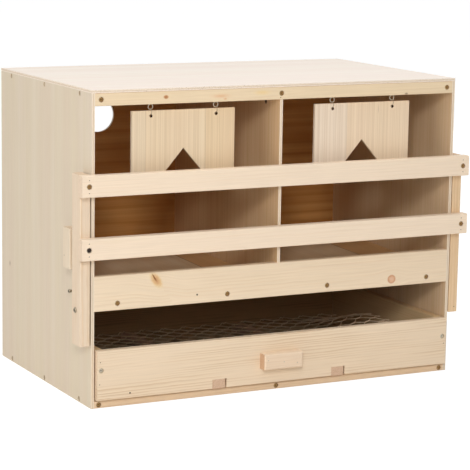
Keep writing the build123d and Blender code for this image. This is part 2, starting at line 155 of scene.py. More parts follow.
# A wave texture's scale for waves one metre long: divided by a length, it gives waves of that length
WAVE_UNIT = math.tau / 20

PORE = 1.6 * MM
PLY_CORE_HALF = 0.75 * MM
SEAM_HALF = 0.5 * MM
# How many radii round a knot the grain still bends
BEND_REACH = 5


def fibres(tree, place, grain, sizes, detail):
    """Noise drawn out along the grain, with its two sizes in metres."""
    scale = by_axis(grain, 1 / sizes[0], 1 / sizes[1])
    stretched = add(tree, "ShaderNodeMapping", {"Vector": place, "Scale": scale}).outputs[0]
    return add(tree, "ShaderNodeTexNoise", {"Vector": stretched, "Scale": 1, "Detail": detail}).outputs["Fac"]


def knotted(tree, place, grain, knots):
    """Bends the grain round each knot, and gives each knot's mask, its rings and its tones."""
    marks = []
    flow = place
    for centre, facing, radius, stretch, lean, strength, core, tones in knots:
        turned = add(tree, "ShaderNodeVectorRotate",
                     {"Vector": place, "Center": centre, "Axis": by_axis(facing, 1, 0), "Angle": math.radians(lean)},
                     rotation_type="AXIS_ANGLE").outputs[0]
        away = add(tree, "ShaderNodeVectorMath", {0: turned, 1: centre}, operation="SUBTRACT").outputs[0]
        shape = by_axis(grain, 1 / (radius * stretch), 1 / radius)
        shaped = add(tree, "ShaderNodeVectorMath", {0: away, 1: shape}, operation="MULTIPLY").outputs[0]
        reach = add(tree, "ShaderNodeVectorMath", {0: shaped}, operation="LENGTH").outputs["Value"]
        push = add(tree, "ShaderNodeMapRange",
                   {"Value": reach, "From Min": 0.8, "From Max": BEND_REACH, "To Min": radius * 1.1 * strength,
                    "To Max": 0}, interpolation_type="SMOOTHSTEP").outputs[0]
        across = add(tree, "ShaderNodeVectorMath", {0: away, 1: by_axis(grain, 0, 1)}, operation="MULTIPLY")
        outward = add(tree, "ShaderNodeVectorMath", {0: across.outputs[0]}, operation="NORMALIZE").outputs[0]
        bend = add(tree, "ShaderNodeVectorMath", {0: outward, "Scale": push}, operation="SCALE").outputs[0]
        flow = add(tree, "ShaderNodeVectorMath", {0: flow, 1: bend}, operation="SUBTRACT").outputs[0]
        inside = add(tree, "ShaderNodeMapRange",
                     {"Value": reach, "From Min": 1.2, "From Max": core, "To Min": 0, "To Max": strength},
                     interpolation_type="SMOOTHSTEP").outputs[0]
        marks.append((inside, reach, tones))
    return flow, marks


def with_knots(tree, tone, place, marks):
    """Draws the knots: a heart, a body and a rim, with a little unevenness."""
    for inside, reach, (heart, body, edge) in marks:
        uneven = add(tree, "ShaderNodeTexNoise", {"Vector": place, "Scale": 1 / (3 * MM), "Detail": 2}).outputs["Fac"]
        rings = add(tree, "ShaderNodeMath", {0: uneven, 1: 0.8, 2: -0.4}, operation="MULTIPLY_ADD").outputs[0]
        rings = add(tree, "ShaderNodeMath", {0: rings, 1: reach}, operation="ADD").outputs[0]
        tone = mixed(tree, inside, tone, ramp(tree, rings, [(0.1, heart), (0.55, body), (1, edge)]))
    return tone


def with_fibres(tree, tone, fine, dark, light):
    """The fine light and shade of the fibres."""
    shade = add(tree, "ShaderNodeMapRange",
                {"Value": fine, "From Min": 0.3, "From Max": 0.7, "To Min": dark, "To Max": light}).outputs[0]
    return add(tree, "ShaderNodeVectorMath", {0: tone, "Scale": shade}, operation="SCALE").outputs[0]


def finished(tree, tone, height, roughness, depth):
    """The surface: colour, a fine bump and the shader."""
    bump = add(tree, "ShaderNodeBump", {"Height": height, "Strength": 0.35, "Distance": depth})
    shader = add(tree, "ShaderNodeBsdfPrincipled",
                 {"Base Color": tone, "Roughness": roughness, "Normal": bump.outputs[0], "IOR": 1.5,
                  "Specular IOR Level": 0.3})
    add(tree, "ShaderNodeOutputMaterial", {"Surface": shader.outputs[0]})


def end_mask(tree, coordinates, grain):
    """Where a face looks along the grain."""
    turned = add(tree, "ShaderNodeVectorMath", {0: coordinates.outputs["Normal"]}, operation="ABSOLUTE").outputs[0]
    along = add(tree, "ShaderNodeVectorMath", {0: turned, 1: by_axis(grain, 1, 0)}, operation="DOT_PRODUCT")
    return add(tree, "ShaderNodeMapRange",
               {"Value": along.outputs["Value"], "From Min": 0.8, "From Max": 0.95}).outputs[0]


def growth_lines(tree, flow, grain, pith, early, late):
    """The years' lines round a far pith, at uneven distances, since one year grows more than the next."""
    years = fibres(tree, flow, grain, YEARS, 1)
    years = add(tree, "ShaderNodeMath", {0: years, 1: YEAR_DRIFT, 2: -YEAR_DRIFT / 2}, operation="MULTIPLY_ADD")
    drift = add(tree, "ShaderNodeVectorMath", {0: by_axis(grain, 0, 1), "Scale": years.outputs[0]}, operation="SCALE")
    uneven = add(tree, "ShaderNodeVectorMath", {0: flow, 1: drift.outputs[0]}, operation="ADD").outputs[0]
    log = add(tree, "ShaderNodeMapping",
              {"Vector": uneven, "Location": tuple(-c for c in pith), "Rotation": by_axis(grain, 0, LOG_LEAN),
               "Scale": by_axis(grain, 0.25, 1)}).outputs[0]
    growth = add(tree, "ShaderNodeTexWave",
                 {"Vector": log, "Scale": WAVE_UNIT / RING_WIDE, "Distortion": 2.2, "Detail": 2, "Detail Scale": 1.2},
                 wave_type="RINGS", rings_direction="XYZ"[grain], wave_profile="SAW").outputs["Fac"]
    return ramp(tree, growth, [(0, early), (0.45, early), (0.93, late), (1, early)])


def planed_pine(name, grain, pith, tones, figure, knots, sawn_depth):
    """Planed, unfinished pine: matt and pale, with warm late wood lines that come and go, small knots, and sawn ends
    that look darker for their open pores."""
    material, tree = blank(name)
    coordinates = add(tree, "ShaderNodeTexCoord")
    place = coordinates.outputs["Object"]
    flow, marks = knotted(tree, place, grain, knots)
    early, late, red = tones
    lines = growth_lines(tree, flow, grain, pith, early, late)
    patchy = add(tree, "ShaderNodeMapRange",
                 {"Value": fibres(tree, flow, grain, FIGURE_PATCH, 2), "From Min": 0.4, "From Max": 0.62,
                  "To Min": figure * 0.12, "To Max": figure * 1.4}).outputs[0]
    tone = mixed(tree, patchy, colour(early), lines)
    cloud = fibres(tree, flow, grain, CLOUD, 2)
    tone = mixed(tree, cloud, tone, mixed(tree, 0.3, tone, colour(red)))
    fine = fibres(tree, flow, grain, FIBRE, 3)
    tone = with_fibres(tree, tone, fine, 0.955, 1.02)
    pores = add(tree, "ShaderNodeTexNoise", {"Vector": place, "Scale": 1 / PORE, "Detail": 2}).outputs["Fac"]
    pores = add(tree, "ShaderNodeMapRange", {"Value": pores, "From Min": 0.42, "From Max": 0.62, "To Max": 0.24})
    sawn = mixed(tree, pores.outputs[0], mixed(tree, sawn_depth, tone, colour("#C79E7C")), colour("#A5815F"))
    tone = mixed(tree, end_mask(tree, coordinates, grain), tone, sawn)
    tone = with_knots(tree, tone, place, marks)
    finished(tree, tone, fine, 0.62, 0.25 * MM)
    return material


def with_seams(tree, tone, apart, seams):
    """The joins between two leaves of veneer: past each, the leaf has another tone, and the join may show as a line."""
    for axis, where, leaf, dark in seams:
        past = add(tree, "ShaderNodeMath", {0: apart[axis], 1: where}, operation="GREATER_THAN").outputs[0]
        tone = mixed(tree, past, tone, mixed(tree, 1, tone, colour(leaf), "MULTIPLY"))
        gap = add(tree, "ShaderNodeMath", {0: apart[axis], 1: where, 2: SEAM_HALF}, operation="COMPARE").outputs[0]
        line = add(tree, "ShaderNodeMath", {0: gap, 1: dark}, operation="MULTIPLY").outputs[0]
        tone = mixed(tree, line, tone, colour("#6E5237"))
    return tone


def ply_edge(tree, tone, place, thin, across, middle, torn):
    """A sawn edge: two pale plies with a darker core between them, torn by the saw."""
    core = add(tree, "ShaderNodeMath", {0: across, 1: middle, 2: PLY_CORE_HALF}, operation="COMPARE").outputs[0]
    plies = mixed(tree, core, colour("#F2E2CF"), colour("#D9C0A0"))
    plies = mixed(tree, 0.35, plies, tone)
    rough = fibres(tree, place, thin, TORN_FIBRE, 3)
    rough = add(tree, "ShaderNodeMapRange", {"Value": rough, "From Min": 0.5, "From Max": 0.7, "To Max": torn})
    return mixed(tree, rough.outputs[0], plies, colour("#A08A70"))


def with_bores(tree, tone, place, thin, bores):
    """The walls of drilled holes, painted dark as the shade inside them."""
    for centre, radius in bores:
        away = add(tree, "ShaderNodeVectorMath", {0: place, 1: centre}, operation="SUBTRACT").outputs[0]
        away = add(tree, "ShaderNodeVectorMath", {0: away, 1: by_axis(thin, 0, 1)}, operation="MULTIPLY").outputs[0]
        reach = add(tree, "ShaderNodeVectorMath", {0: away}, operation="LENGTH").outputs["Value"]
        wall = add(tree, "ShaderNodeMath", {0: reach, 1: radius + 0.1 * MM}, operation="LESS_THAN").outputs[0]
        # Painted shade on the hole's wall
        tone = mixed(tree, wall, tone, colour("#2E1C10"))
    return tone


def veneered(name, grain, thin, middle, tones, arcs, streaks, inner, seed,
             knots=(), seams=(), bores=(), torn=0.12):
    """Thin plywood, peeled and pressed: broad faint arcs and long straight streaks, three plies on its edges, and on
    its inner face a painted warm shade for the box's own warm light."""
    material, tree = blank(name)
    coordinates = add(tree, "ShaderNodeTexCoord")
    place = coordinates.outputs["Object"]
    flow, marks = knotted(tree, place, grain, knots)
    moved = add(tree, "ShaderNodeMapping", {"Vector": flow, "Location": (seed, seed, seed)}).outputs[0]
    peel = fibres(tree, moved, grain, PEEL, 2)
    lines = add(tree, "ShaderNodeMath", {0: peel, 1: 16}, operation="MULTIPLY").outputs[0]
    lines = add(tree, "ShaderNodeMath", {0: lines, 1: 1}, operation="PINGPONG").outputs[0]
    early, late, red = tones
    tone = ramp(tree, lines, [(0, late), (0.3, early), (1, early)])
    tone = mixed(tree, arcs, colour(early), tone)
    inside = 0
    if inner is not None:
        way, inner_shade_code = inner
        facing = add(tree, "ShaderNodeVectorMath", {0: coordinates.outputs["Normal"], 1: way},
                     operation="DOT_PRODUCT").outputs["Value"]
        inside = add(tree, "ShaderNodeMapRange", {"Value": facing, "From Min": 0.4, "From Max": 0.6}).outputs[0]
    streak_wide, inner_depth, outer_depth = streaks
    depth = add(tree, "ShaderNodeMapRange", {"Value": inside, "To Min": outer_depth, "To Max": inner_depth}).outputs[0]
    streak = fibres(tree, moved, grain, (STREAK_LONG, streak_wide), 3)
    band = add(tree, "ShaderNodeMapRange",
               {"Value": streak, "From Min": 0.35, "From Max": 0.68, "To Min": 0, "To Max": depth}).outputs[0]
    tone = mixed(tree, band, tone, colour(late))
    blush = fibres(tree, moved, grain, BLUSH, 2)
    blush = add(tree, "ShaderNodeMapRange", {"Value": blush, "From Min": 0.4, "From Max": 0.65, "To Max": 0.35})
    tone = mixed(tree, blush.outputs[0], tone, colour(red))
    fine = fibres(tree, flow, grain, FIBRE, 3)
    tone = with_fibres(tree, tone, fine, 0.965, 1.015)
    apart = add(tree, "ShaderNodeSeparateXYZ", {0: place}).outputs
    tone = with_seams(tree, tone, apart, seams)
    tone = with_knots(tree, tone, place, marks)
    # Painted shade: the inner face's tone multiplied by a warm brown
    if inner is not None:
        tone = mixed(tree, inside, tone, mixed(tree, 1, tone, colour(inner_shade_code), "MULTIPLY"))
    edge = ply_edge(tree, tone, place, thin, apart[thin], middle, torn)
    tone = mixed(tree, end_mask(tree, coordinates, thin), edge, tone)
    tone = with_bores(tree, tone, place, thin, bores)
    finished(tree, tone, fine, 0.58, 0.18 * MM)
    return material


def crushed_pine(name, hole_shade_codes, rim_codes):
    """Pine crushed by a screw's head, bruised at its rim, with painted shade darkening it down in the hole."""
    material, tree = blank(name)
    place = add(tree, "ShaderNodeTexCoord").outputs["Object"]
    dents = add(tree, "ShaderNodeTexNoise", {"Vector": place, "Scale": 1 / (1.2 * MM), "Detail": 3}).outputs["Fac"]
    # Painted shade down in the hole, over the crushed wood
    hole = ramp(tree, dents, list(zip((0.3, 0.7), hole_shade_codes)))
    rim = ramp(tree, dents, list(zip((0.3, 0.7), rim_codes)))
    bruise = add(tree, "ShaderNodeAttribute", attribute_name="bruise").outputs["Fac"]
    shader = add(tree, "ShaderNodeBsdfPrincipled", {"Base Color": mixed(tree, bruise, hole, rim), "Roughness": 0.8})
    add(tree, "ShaderNodeOutputMaterial", {"Surface": shader.outputs[0]})
    return material


# Metals

def zinc(name, code, roughness, metallic=1):
    """Zinc plate on steel: a soft shine, clouded by handling, and darkened down in a drive's recess by painted
    shade and dirt.
    """
    material, tree = blank(name)
    place = add(tree, "ShaderNodeTexCoord").outputs["Object"]
    cloud = add(tree, "ShaderNodeTexNoise", {"Vector": place, "Scale": 1 / (2 * MM), "Detail": 3}).outputs["Fac"]
    tone = mixed(tree, cloud, colour(code), mixed(tree, 0.5, colour(code), colour("#5A5247")))
    recess = add(tree, "ShaderNodeAttribute", attribute_name="recess").outputs["Fac"]
    # Painted shade and dirt down in the drive's recess
    tone = mixed(tree, recess, tone, colour("#2A2018"))
    dull = add(tree, "ShaderNodeMapRange",
               {"Value": cloud, "To Min": roughness - 0.08, "To Max": roughness + 0.12}).outputs[0]
    shader = add(tree, "ShaderNodeBsdfPrincipled", {"Base Color": tone, "Metallic": metallic, "Roughness": dull})
    add(tree, "ShaderNodeOutputMaterial", {"Surface": shader.outputs[0]})
    return material


# Early wood, late wood and blush of the planed boards, from the palest outside to those in the box's shade, which
# are painted darker and browner as shade
PINE = ("#EEDABE", "#DCBE96", "#EBD0B1")
PINE_HEADER = ("#EAD5B4", "#D8B98D", "#E7CBA6")
PINE_FRONT = ("#EBD7BC", "#CDAC84", "#E8CCAD")
PINE_CREAM = ("#F2DFC7", "#E4C9A6", "#F0D6BE")
PINE_PINK = ("#EBD5BB", "#D8B893", "#E8CAAE")
PINE_ARM = ("#E7D3BB", "#DABB92", "#E5CAAE")
PINE_GOLD = ("#E8CAA3", "#D4AD82", "#E5C19B")
PINE_GREY = ("#E6D5BD", "#D4BD9C", "#E0CBB0")
PINE_WARM = ("#EBD0AE", "#D2AC82", "#E8C5A6")
END_BLOCK = ("#DCBEA4", "#C29C80", "#D3AE93")
PINE_INNER_SHADE = ("#DCBD91", "#C69E6B", "#D6B387")
# The drawer's back: painted shade, and a browner board too
PINE_SHADED = ("#BB9669", "#9C7850", "#AF8A61")

# The same of the veneered sheets
VENEER = ("#F1E2CC", "#E2CCA9", "#EBD3BA")
VENEER_BACK = ("#F2E2CA", "#CBAA7C", "#E3C49E")
VENEER_FLOOR = ("#EFD9B8", "#DBBD92", "#E8CAA6")
VENEER_TOP = ("#F6ECE1", "#EEDFCC", "#F3E2D8")
VENEER_SIDE = ("#DFD1BB", "#D6C4A2", "#DCC8B7")
VENEER_FLAP = ("#EFDDC1", "#CDB48E", "#E9D0B4")
VENEER_FLAP_RIGHT = ("#F6E5D0", "#D0B696", "#EFDAC6")

# Heart, body and rim of each kind of knot, and of marks that are drawn as knots are
RED_KNOT = ("#96582E", "#B87C4C", "#D3A374")
SPIKE_KNOT = ("#C98F58", "#DDB27C", "#EAD09C")
SPIKE_CORE = ("#6E3F1B", "#8A5528", "#B98550")
PALE_KNOT = ("#DDB496", "#DBA884", "#C6875E")
RESIN_STREAK = ("#DDA878", "#E3B689", "#E9C9A2")
YELLOW_STREAK = ("#E9CB92", "#EACF9A", "#EDD5A6")
DARK_KNOT = ("#2E1C0E", "#3E2814", "#5C4024")
GREY_KNOT = ("#7E6450", "#A48A70", "#C4AB8D")
NAIL_HEAD = ("#D9CFBF", "#D2C6B4", "#7C6B55")


# Finish of every board

def knot(centre, radius, tones, facing=Y, stretch=1, lean=0, strength=1, core=0.8):
    """A knot on a board that faces along an axis: its radius in millimetres, its stretch along the grain, its lean in
    degrees, how strong it is, and how far out it is so, from 0 at its middle to 1 at its radius."""
    return (centre, facing, radius * MM, stretch, lean, strength, core, tones)


HEADER = "front_header_rail"
HEADER_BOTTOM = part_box(HEADER)[0][Z] / MM
SILL = "nest_front_board"
PANEL_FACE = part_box("left_side_panel")[0][X]
DIVIDER_FACE = -2.3 * MM

header_knots = [
    knot(on_front(HEADER, -183, 437), 2.8, RED_KNOT, stretch=1.4, strength=0.9, core=0.75),
    knot(on_front(HEADER, -97.5, 435.6), 4.5, RESIN_STREAK, stretch=4.5, strength=0.6, core=0),
    knot(on_front(HEADER, -31.5, 438.5), 4.2, YELLOW_STREAK, stretch=3.8, strength=0.75, core=0.2),
    knot(on_front(HEADER, -90.5, 431.5), 2, RESIN_STREAK, stretch=1.8, strength=0.7, core=0.3),
    knot(on_front(HEADER, 209.8, HEADER_BOTTOM + 1.5), 2, GREY_KNOT, stretch=1.7, strength=0.75, core=0.5),
]
sill_knots = [
    knot(on_front(SILL, -195.5, 177.5), 7.5, SPIKE_KNOT, stretch=1.9, lean=-52, strength=0.85, core=0.6),
    knot(on_front(SILL, -198.5, 181.5), 1.5, SPIKE_CORE, stretch=5, lean=-58, strength=0.9, core=0.4),
    knot(on_front(SILL, 193.6, 150), 6.2, PALE_KNOT, stretch=1.05, strength=0.85, core=0.9),
]
panel_knots = [
    knot((PANEL_FACE, 143 * MM, 153 * MM), 4, GREY_KNOT, facing=X, stretch=1.3, strength=0.5, core=0.3),
]
divider_knots = [knot((DIVIDER_FACE, -134 * MM, 421.5 * MM), 3.2, DARK_KNOT, facing=X, stretch=1.4)]
# Three nail heads flush with the handle's face, which is the frontmost face of the box
handle_nails = [
    knot(on_front("drawer_handle", x, z), 0.75, NAIL_HEAD, core=0.9) for x, z in ((-26, 50), (0, 46), (22, 43))
]
flap_crack = knot(on_front("right_flap", 173.5, 405.5), 0.45, GREY_KNOT, stretch=16, strength=0.5, core=0.5)

# The holes that the links pass through
FLAP_BORE_X = (95.4, 197.4)
FLAP_BORE_Z = 409
FLAP_BORE_RADIUS = 2.25 * MM
flap_bores = {
    side: [((side * x * MM, 0, FLAP_BORE_Z * MM), FLAP_BORE_RADIUS) for x in FLAP_BORE_X] for side in (LEFT, RIGHT)
}

# Each board with its grain, its tones, the strength of its growth lines, and how many millimetres the pith lies below
# and beside it
BOARDS = [
    (HEADER, X, PINE_HEADER, 0.25, 70, 12),
    ("top_left_batten", Y, PINE, 0.4, 60, 20),
    ("top_right_batten", Y, PINE, 0.4, 50, -20),
    ("top_rear_rail", X, PINE, 0.4, 65, 14),
    ("bottom_front_rail", X, PINE_WARM, 0.35, 40, 10),
    ("bottom_rear_rail", X, PINE_INNER_SHADE, 0.4, 60, 0),
    ("left_runner", Y, PINE_INNER_SHADE, 0.4, 40, 5),
    ("centre_runner", Y, PINE_INNER_SHADE, 0.4, 35, 0),
    ("right_runner", Y, PINE_INNER_SHADE, 0.4, 45, -4),
    (SILL, X, PINE, 0.3, 44, 30),
    ("nest_rear_ledger", X, PINE_INNER_SHADE, 0.4, 50, 8),
    ("left_outer_bearer", Y, PINE_INNER_SHADE, 0.4, 50, 6),
    ("left_inner_bearer", Y, PINE_INNER_SHADE, 0.4, 42, -6),
    ("right_inner_bearer", Y, PINE_INNER_SHADE, 0.4, 55, 4),
    ("right_outer_bearer", Y, PINE_INNER_SHADE, 0.4, 47, -4),
    ("left_rest_block", Z, PINE_GREY, 0.3, 60, 10),
    ("right_rest_block", Z, PINE_GREY, 0.3, 50, -10),
    ("perch_upper_rail", X, PINE_CREAM, 0.2, 55, 38),
    ("perch_lower_rail", X, PINE_CREAM, 0.25, 52, -30),
    ("perch_left_arm", Z, PINE_ARM, 0.5, 48, 20),
    ("perch_right_arm", Z, PINE_GOLD, 0.4, 58, -16),
    ("drawer_front", X, PINE_FRONT, 0.6, 80, 22),
    ("drawer_left_side", Y, PINE_INNER_SHADE, 0.4, 70, 0),
    ("drawer_right_side", Y, PINE_INNER_SHADE, 0.4, 60, 12),
    ("drawer_back", X, PINE_SHADED, 0.8, 70, -10),
    ("drawer_left_batten", Y, END_BLOCK, 0.4, 30, 6),
    ("drawer_right_batten", Y, END_BLOCK, 0.4, 34, -6),
    ("drawer_handle", X, PINE_PINK, 0.25, 30, 5),
]
BOARD_KNOTS = {HEADER: header_knots, SILL: sill_knots, "drawer_handle": handle_nails}
# How much darker the sawn ends are. The handle's are the darkest.
SAWN_ENDS = 0.12
HANDLE_ENDS = 0.8

# How wide the streaks are, and how deep on the inner and on the outer face
BACK_LINES = (9 * MM, 0.9, 0.2)
FLAP_LINES = (1.7 * MM, 0.5, 0.5)
WALL_LINES = (3 * MM, 0.9, 0.3)
SOFT_STREAKS = (18 * MM, 0.4, 0.4)
# Which way the inner face looks, and what its tone is multiplied by: a painted warm shade, for the dim light inside
# the box
SHADED_BELOW = ((0, 0, -1), "#E7B773")
SHADED_IN_FRONT = ((0, -1, 0), "#E1B378")
SHADED_ON_RIGHT = ((1, 0, 0), "#F0DCC4")
SHADED_ON_LEFT = ((-1, 0, 0), "#F0DCC4")
LIGHT_SHADE_ON_LEFT = ((-1, 0, 0), "#FBEAD8")

# Each sheet with its grain, the axis it is thin along, its tones, the strength of its arcs, its streaks, its inner
# face and its painted shade, where its pattern starts, and the marks that only it has
SHEETS = [
    ("left_side_panel", Z, X, VENEER_SIDE, 0.12, SOFT_STREAKS, SHADED_ON_RIGHT, 0.3, {"knots": panel_knots}),
    ("right_side_panel", Z, X, VENEER_SIDE, 0.2, WALL_LINES, LIGHT_SHADE_ON_LEFT, 1.7, {}),
    ("top_panel", X, Z, VENEER_TOP, 0.1, SOFT_STREAKS, SHADED_BELOW, 2.9, {"torn": 0.6}),
    ("back_panel", X, Y, VENEER_BACK, 0.5, BACK_LINES, SHADED_IN_FRONT, 4.1, {}),
    ("centre_divider", Z, X, VENEER, 0.2, WALL_LINES, SHADED_ON_LEFT, 5.3, {"knots": divider_knots}),
    # Past each seam the floor turns warmer and a little darker, with a dark line: the left floor's towards the divider,
    # the right floor's towards the right wall
    ("left_nest_floor", Y, Z, VENEER_FLOOR, 0.2, SOFT_STREAKS, SHADED_BELOW, 6.7,
     {"seams": [(X, -54 * MM, "#F3DCBE", 1)]}),
    ("right_nest_floor", Y, Z, VENEER_FLOOR, 0.2, SOFT_STREAKS, SHADED_BELOW, 7.9,
     {"seams": [(X, 222 * MM, "#F3DCBE", 1)]}),
    ("left_flap", Z, Y, VENEER_FLAP, 0.0, FLAP_LINES, None, 9.2,
     {"seams": [(X, -206 * MM, "#FFFCF8", 0.2), (X, -112 * MM, "#FDF9F3", 0.2)], "bores": flap_bores[LEFT]}),
    ("right_flap", Z, Y, VENEER_FLAP_RIGHT, 0.0, FLAP_LINES, None, 10.6,
     {"knots": [flap_crack], "seams": [(X, 120 * MM, "#FFFAF0", 0.2)], "bores": flap_bores[RIGHT]}),
]


def far_pith(node, grain, drop, side):
    """A point on the pith of the log that a board was sawn from, away from the board's middle."""
    point = [middle_of(node, axis) for axis in (X, Y, Z)]
    across, up = [axis for axis in (X, Y, Z) if axis != grain]
    point[across] += side * MM
    point[up] -= drop * MM
    return tuple(point)


def dress(node, material):
    """Gives a carried-over board its own finish."""
    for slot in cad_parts[node].material_slots:
        slot.material = material


for node, grain, tones, figure, drop, side in BOARDS:
    pith = far_pith(node, grain, drop, side)
    sawn_depth = HANDLE_ENDS if node == "drawer_handle" else SAWN_ENDS
    pine = planed_pine(f"planed_pine_{node}", grain, pith, tones, figure, BOARD_KNOTS.get(node, ()), sawn_depth)
    dress(node, pine)
for node, grain, thin, *look, marks in SHEETS:
    dress(node, veneered(f"plywood_{node}", grain, thin, middle_of(node, thin), *look, **marks))

# Yellow zinc on the screws: brassy, and olive down in its hole
yellow_zinc = zinc("yellow_zinc_screws", "#AC8550", 0.36)
# Bright zinc on the screws of the side panels and the drawer: a cool pale glint
bright_zinc = zinc("bright_zinc_hardware", "#D8CDB8", 0.38)
# Zinc dulled by handling on the perch's pivots and stops: grey beside the pale wood
dull_zinc = zinc("dull_zinc_machine_screws", "#A59A86", 0.45)
# Blanched zinc on the screw eyes, which stay cream against the dark nests
ring_zinc = zinc("cream_zinc_rings", "#F1E8D4", 0.5, 0.6)
# Thin links of the same zinc, seen edge on, so painted a little darker as shade
shaded_link_zinc = zinc("zinc_links_painted_shade", "#BFAF92", 0.5, 0.5)
# Hot dipped wire, more milky than shiny
net_wire = zinc("galvanised_net_wire", "#FFE3C0", 0.4, 0.2)
for node in ("pivot_washers", "pivot_nuts"):
    dress(node, bright_zinc)


# Pieces that repeat

def rows_tree():
    """Sets one piece on every point, turned as the point says, and gives all of them one finish."""
    tree = bpy.data.node_groups.new("pieces_on_points", "GeometryNodeTree")
    tree.interface.new_socket("Points", in_out="INPUT", socket_type="NodeSocketGeometry")
    tree.interface.new_socket("Piece", in_out="INPUT", socket_type="NodeSocketObject")
    tree.interface.new_socket("Finish", in_out="INPUT", socket_type="NodeSocketMaterial")
    tree.interface.new_socket("Pieces", in_out="OUTPUT", socket_type="NodeSocketGeometry")
    given = add(tree, "NodeGroupInput").outputs
    piece = add(tree, "GeometryNodeObjectInfo", {"Object": given["Piece"]})
    turn = add(tree, "GeometryNodeInputNamedAttribute", {"Name": "turn"}, data_type="FLOAT_VECTOR")
    spun = add(tree, "FunctionNodeEulerToRotation", {0: turn.outputs["Attribute"]})
    set_out = add(tree, "GeometryNodeInstanceOnPoints",
                  {"Points": given["Points"], "Instance": piece.outputs["Geometry"], "Rotation": spun.outputs[0]})
    real = add(tree, "GeometryNodeRealizeInstances", {"Geometry": set_out.outputs[0]})
    painted = add(tree, "GeometryNodeSetMaterial", {"Geometry": real.outputs[0], "Material": given["Finish"]})
    add(tree, "NodeGroupOutput", {0: painted.outputs[0]})
    return tree


def wire_tree():
    """Gives every run of edges a round wire."""
    tree = bpy.data.node_groups.new("wire_along_edges", "GeometryNodeTree")
    tree.interface.new_socket("Runs", in_out="INPUT", socket_type="NodeSocketGeometry")
    tree.interface.new_socket("Wire Radius", in_out="INPUT", socket_type="NodeSocketFloat")
    tree.interface.new_socket("Sides", in_out="INPUT", socket_type="NodeSocketInt")
    tree.interface.new_socket("Finish", in_out="INPUT", socket_type="NodeSocketMaterial")
    tree.interface.new_socket("Wires", in_out="OUTPUT", socket_type="NodeSocketGeometry")
    given = add(tree, "NodeGroupInput").outputs
    runs = add(tree, "GeometryNodeMeshToCurve", {"Mesh": given["Runs"]})
    round_wire = add(tree, "GeometryNodeCurvePrimitiveCircle",
                     {"Resolution": given["Sides"], "Radius": given["Wire Radius"]})
    tube = add(tree, "GeometryNodeCurveToMesh",
               {"Curve": runs.outputs[0], "Profile Curve": round_wire.outputs[0], "Fill Caps": True})
    smooth = add(tree, "GeometryNodeSetShadeSmooth", {"Geometry": tube.outputs[0], "Shade Smooth": True})
    real = add(tree, "GeometryNodeRealizeInstances", {"Geometry": smooth.outputs[0]})
    painted = add(tree, "GeometryNodeSetMaterial", {"Geometry": real.outputs[0], "Material": given["Finish"]})
    add(tree, "NodeGroupOutput", {0: painted.outputs[0]})
    return tree


def grown(name, mesh, tree, inputs):
    """Runs a tree on a mesh and keeps the result as a plain mesh object."""
    source = bpy.data.objects.new(name + "_source", mesh)
    bpy.context.scene.collection.objects.link(source)
    modifier = source.modifiers.new("grow", "NODES")
    modifier.node_group = tree
    for item in tree.interface.items_tree:
        if item.in_out == "INPUT" and item.name in inputs:
            modifier[item.identifier] = inputs[item.name]
    source.update_tag()
    graph = bpy.context.evaluated_depsgraph_get()
    made = bpy.data.meshes.new_from_object(source.evaluated_get(graph), depsgraph=graph)
    bpy.data.objects.remove(source)
    piece = bpy.data.objects.new(name, made)
    made.name = name
    bpy.context.scene.collection.objects.link(piece)
    return piece


ROWS = rows_tree()
WIRES = wire_tree()
# How wide the drive's cross is at its foot, as a share of its top
CROSS_TAPER = 0.45
# A prototype's turn, and the way it then faces
TURN = {"front": (math.pi / 2, 0, 0), "left": (0, -math.pi / 2, 0), "right": (0, math.pi / 2, 0)}
OUTWARD = {"front": Vector((0, -1, 0)), "left": Vector((-1, 0, 0)), "right": Vector((1, 0, 0))}


def set_out(name, prototype, places, material):
    """Copies of a prototype on (point, facing) places."""
    mesh = bpy.data.meshes.new(name + "_points")
    mesh.from_pydata([point for point, way in places], [], [])
    turns = mesh.attributes.new("turn", "FLOAT_VECTOR", "POINT")
    for entry, (point, way) in zip(turns.data, places):
        entry.vector = TURN[way]
    return grown(name, mesh, ROWS, {"Piece": prototype, "Finish": material})


def lathe(name, profile, sides=24):
    """A closed round prototype about Z from a half profile."""
    shape = bmesh.new()
    rim = [shape.verts.new((r, 0, z)) for r, z in profile]
    edges = [shape.edges.new(pair) for pair in zip(rim, rim[1:])]
    bmesh.ops.spin(shape, geom=rim + edges, cent=(0, 0, 0), axis=(0, 0, 1), angle=math.tau, steps=sides)
    bmesh.ops.remove_doubles(shape, verts=shape.verts, dist=1e-6)
    bmesh.ops.recalc_face_normals(shape, faces=shape.faces)
    mesh = bpy.data.meshes.new(name)
    shape.to_mesh(mesh)
    shape.free()
    made = bpy.data.objects.new(name, mesh)
    bpy.context.scene.collection.objects.link(made)
    return made


def cross_cutter(wide, thick, deep):
    """A tapered cross for the drive of a screw head."""
    shape = bmesh.new()
    for size in ((wide, thick), (thick, wide)):
        for vert in bmesh.ops.create_cube(shape, size=1)["verts"]:
            share = 1 if vert.co.z > 0 else CROSS_TAPER
            vert.co = Vector((vert.co.x * size[X] * share, vert.co.y * size[Y] * share, vert.co.z * deep * 2))
    return cutter_from(shape)


def hexagon_cutter(wide, deep):
    """A hexagonal plug for a socket."""
    shape = bmesh.new()
    bmesh.ops.create_cone(shape, cap_ends=True, segments=6, radius1=wide / 2, radius2=wide / 2, depth=deep * 2)
    return cutter_from(shape)


def cutter_from(shape):
    """An object from a finished bmesh."""
    mesh = bpy.data.meshes.new("cutter")
    shape.to_mesh(mesh)
    shape.free()
    cutter = bpy.data.objects.new("cutter", mesh)
    bpy.context.scene.collection.objects.link(cutter)
    return cutter


